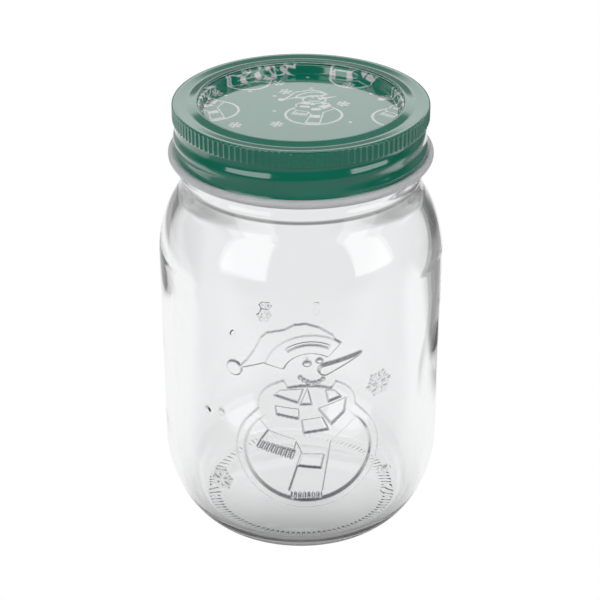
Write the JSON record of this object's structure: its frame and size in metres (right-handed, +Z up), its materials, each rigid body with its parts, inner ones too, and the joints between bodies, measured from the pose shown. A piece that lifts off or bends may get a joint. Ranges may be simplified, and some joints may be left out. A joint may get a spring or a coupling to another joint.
{
  "type": "mason jar",
  "caption": "Clear glass mason jar with a raised snowman in its wall, closed by a printed lid disc under a green knurled screw band.",
  "frame": {"origin": "middle of the ring-shaped foot that the jar stands on", "axes": "+Z up along the axis of the jar, the raised picture faces -Y"},
  "size_m": [0.082, 0.082, 0.1311],
  "materials": {
    "jar_glass": "clear, glossy",
    "disc_lacquer": "glossy lacquer with a white line print",
    "seal_compound": "matt",
    "band_lacquer": "glossy lacquer, pale coat inside and on the curl"
  },
  "bodies": {
    "jar": {"glass_jar": "jar_glass"},
    "lid": {"lid_disc": "disc_lacquer", "sealing_ring": "seal_compound"},
    "band": {"screw_band": "band_lacquer"}
  },
  "joints": [
    {"name": "lid_lift", "type": "slide", "parent": "jar", "child": "lid", "axis": [0, 0, 1], "range_m": [0, 0.1]},
    {"name": "band_turn", "type": "hinge", "parent": "lid", "child": "band", "pos_m": [0, 0, 0.123], "axis": [0, 0, 1], "range_deg": [0, 450]}
  ]
}
